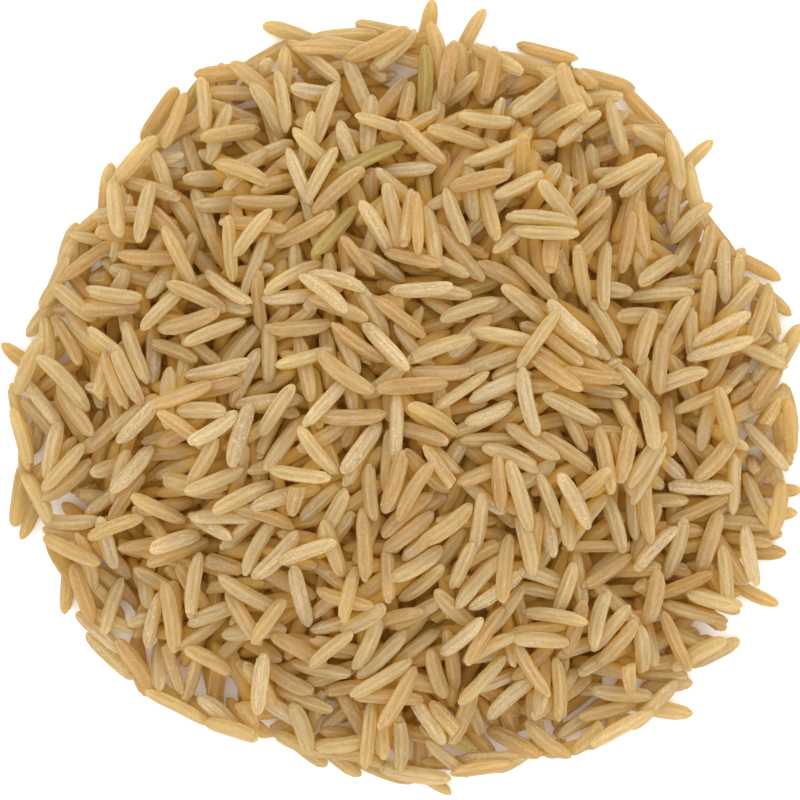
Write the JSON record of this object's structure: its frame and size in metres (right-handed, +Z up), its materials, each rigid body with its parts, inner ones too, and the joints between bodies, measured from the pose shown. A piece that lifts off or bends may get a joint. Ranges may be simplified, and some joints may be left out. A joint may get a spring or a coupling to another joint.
{
  "type": "heap of brown rice",
  "caption": "Low round heap of loose long-grain brown rice, steepest at its uneven rim, lying on a flat base.",
  "frame": {"origin": "middle of the heap's flat underside, on the surface that it lies on", "axes": "+Z up through the top of the heap; +Y is the top of the picture and +X its right side"},
  "size_m": [0.0912, 0.0905, 0.0199],
  "materials": {
    "brown_rice": "satin bran, straw to tan"
  },
  "bodies": {
    "root": {"rice_heap": "brown_rice"}
  },
  "joints": []
}
